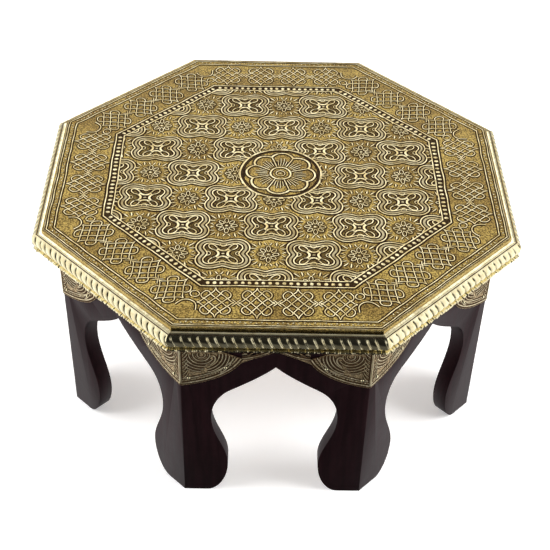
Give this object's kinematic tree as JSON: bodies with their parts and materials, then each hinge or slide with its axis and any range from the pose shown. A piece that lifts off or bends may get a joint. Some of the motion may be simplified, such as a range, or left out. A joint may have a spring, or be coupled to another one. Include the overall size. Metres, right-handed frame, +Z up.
{
  "type": "low octagonal table",
  "caption": "Low octagonal table: embossed sheet brass over a wooden top with a rope edge, on a dark wooden skirt sawn into ogee arches and legs.",
  "frame": {"origin": "on the floor under the middle of the top", "axes": "+Z up; the front side faces -Y, +X to its right; all eight sides are alike"},
  "size_m": [0.305, 0.305, 0.153],
  "materials": {
    "embossed_brass": "embossed, darkened in the recesses, rubbed bright on the ridges",
    "edge_brass": "polished",
    "dark_wood": "dark mahogany stain under satin lacquer",
    "plain_wood": "unfinished, planed",
    "screw_steel": "zinc plated"
  },
  "bodies": {
    "root": {"top_board": "plain_wood", "top_sheet": "embossed_brass", "edge_strip_front": "edge_brass", "edge_strip_front_right": "edge_brass", "edge_strip_right": "edge_brass", "edge_strip_back_right": "edge_brass", "edge_strip_back": "edge_brass", "edge_strip_back_left": "edge_brass", "edge_strip_left": "edge_brass", "edge_strip_front_left": "edge_brass", "side_panel_front": "dark_wood", "side_panel_front_right": "dark_wood", "side_panel_right": "dark_wood", "side_panel_back_right": "dark_wood", "side_panel_back": "dark_wood", "side_panel_back_left": "dark_wood", "side_panel_left": "dark_wood", "side_panel_front_left": "dark_wood", "corner_plate_1": "embossed_brass", "corner_plate_2": "embossed_brass", "corner_plate_3": "embossed_brass", "corner_plate_4": "embossed_brass", "corner_plate_5": "embossed_brass", "corner_plate_6": "embossed_brass", "corner_plate_7": "embossed_brass", "corner_plate_8": "embossed_brass", "corner_block_1": "plain_wood", "corner_block_2": "plain_wood", "corner_block_3": "plain_wood", "corner_block_4": "plain_wood", "corner_block_5": "plain_wood", "corner_block_6": "plain_wood", "corner_block_7": "plain_wood", "corner_block_8": "plain_wood", "edge_pins": "edge_brass", "plate_pins": "edge_brass", "top_screws": "screw_steel"}
  },
  "joints": []
}
